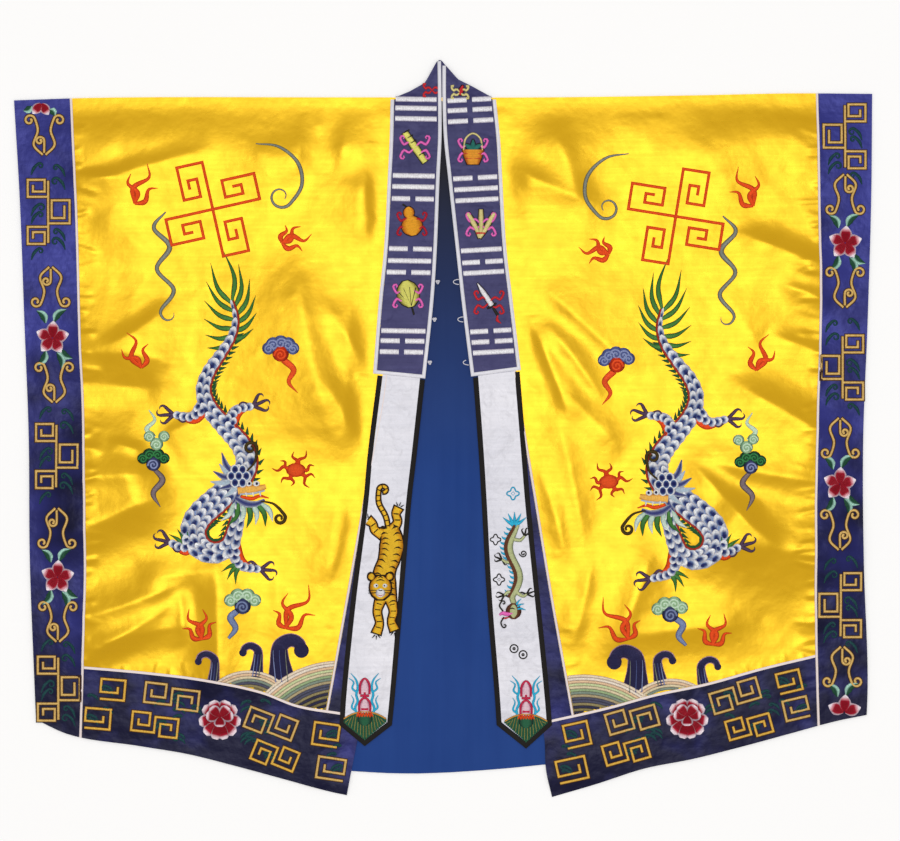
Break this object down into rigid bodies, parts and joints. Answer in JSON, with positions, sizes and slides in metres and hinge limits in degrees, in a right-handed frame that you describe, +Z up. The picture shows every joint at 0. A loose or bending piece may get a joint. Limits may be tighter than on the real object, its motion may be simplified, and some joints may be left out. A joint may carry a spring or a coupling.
{
  "type": "taoist robe",
  "caption": "Open-fronted satin priest's robe laid flat on its back, with banded fronts, a long bound collar and pointed streamers.",
  "frame": {"origin": "bottom centre of the robe's bounding box, on the surface that it lies on", "axes": "+Z up out of the surface, +X to the right and +Y towards the collar, as the robe is seen from above"},
  "size_m": [1.7158, 1.474, 0.0233],
  "materials": {
    "yellow_satin": "satin",
    "navy_satin": "satin",
    "white_satin": "satin",
    "black_binding": "matte",
    "blue_lining": "matte",
    "embroidery_thread": "silky"
  },
  "bodies": {
    "root": {"back_panel": "yellow_satin", "back_hem_band": "navy_satin", "back_side_band_left": "navy_satin", "back_side_band_right": "navy_satin", "back_lining": "blue_lining", "collar_back": "navy_satin", "front_left": "yellow_satin", "front_right": "yellow_satin", "side_band_left": "navy_satin", "side_band_right": "navy_satin", "hem_band_left": "navy_satin", "hem_band_right": "navy_satin", "front_edge_strip_left": "navy_satin", "front_edge_strip_right": "navy_satin", "piping_side_left": "white_satin", "piping_side_right": "white_satin", "piping_hem_left": "white_satin", "piping_hem_right": "white_satin", "piping_edge_left": "white_satin", "piping_edge_right": "white_satin", "collar_left": "navy_satin", "collar_right": "navy_satin", "collar_piping_left": "white_satin", "collar_piping_right": "white_satin", "streamer_left": "white_satin", "streamer_right": "white_satin", "streamer_binding_left": "black_binding", "streamer_binding_right": "black_binding", "knot_button_1": "white_satin", "knot_button_2": "white_satin", "knot_button_3": "white_satin", "button_loop_1": "white_satin", "button_loop_2": "white_satin", "button_loop_3": "white_satin"}
  },
  "joints": []
}
